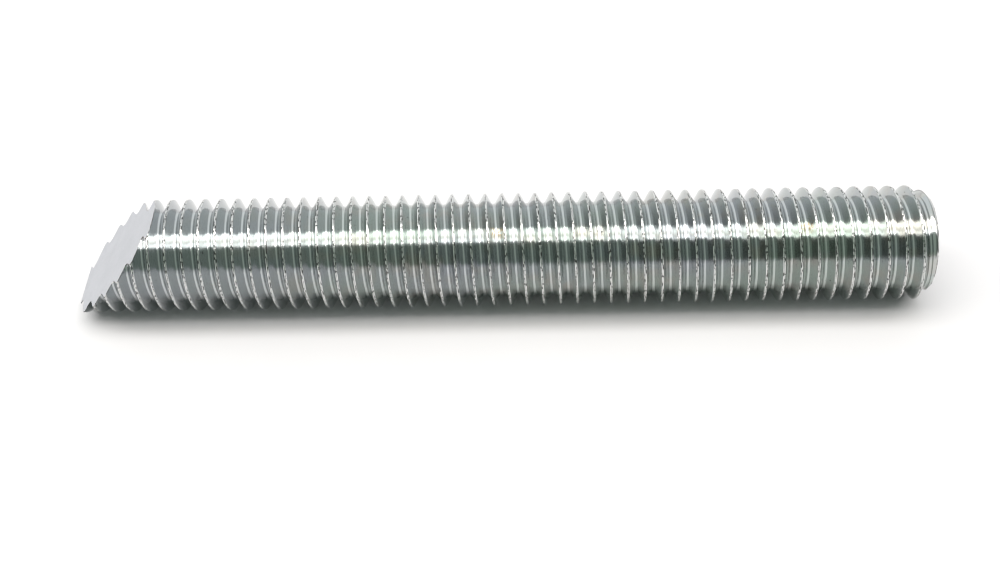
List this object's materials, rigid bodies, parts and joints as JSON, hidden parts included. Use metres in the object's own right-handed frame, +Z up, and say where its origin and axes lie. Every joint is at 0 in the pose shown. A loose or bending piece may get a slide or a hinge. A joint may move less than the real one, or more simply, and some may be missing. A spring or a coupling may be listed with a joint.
{
  "type": "threaded rod",
  "caption": "Short length of zinc-plated, fully threaded steel rod, sawn square at one end and on a slant at the other, for nuts or tapped holes.",
  "frame": {"origin": "middle of the rod's overall length, straight below its axis, on the surface that the rod lies on", "axes": "+X along the rod, from the slanted end to the square end; +Z up, with the slanted face turned up; +Y across the rod"},
  "size_m": [0.09, 0.0118, 0.0118],
  "materials": {
    "zinc_plated_steel": "bright zinc plating, shiny on the thread and dull on the sawn faces"
  },
  "bodies": {
    "root": {"threaded_rod": "zinc_plated_steel"}
  },
  "joints": []
}
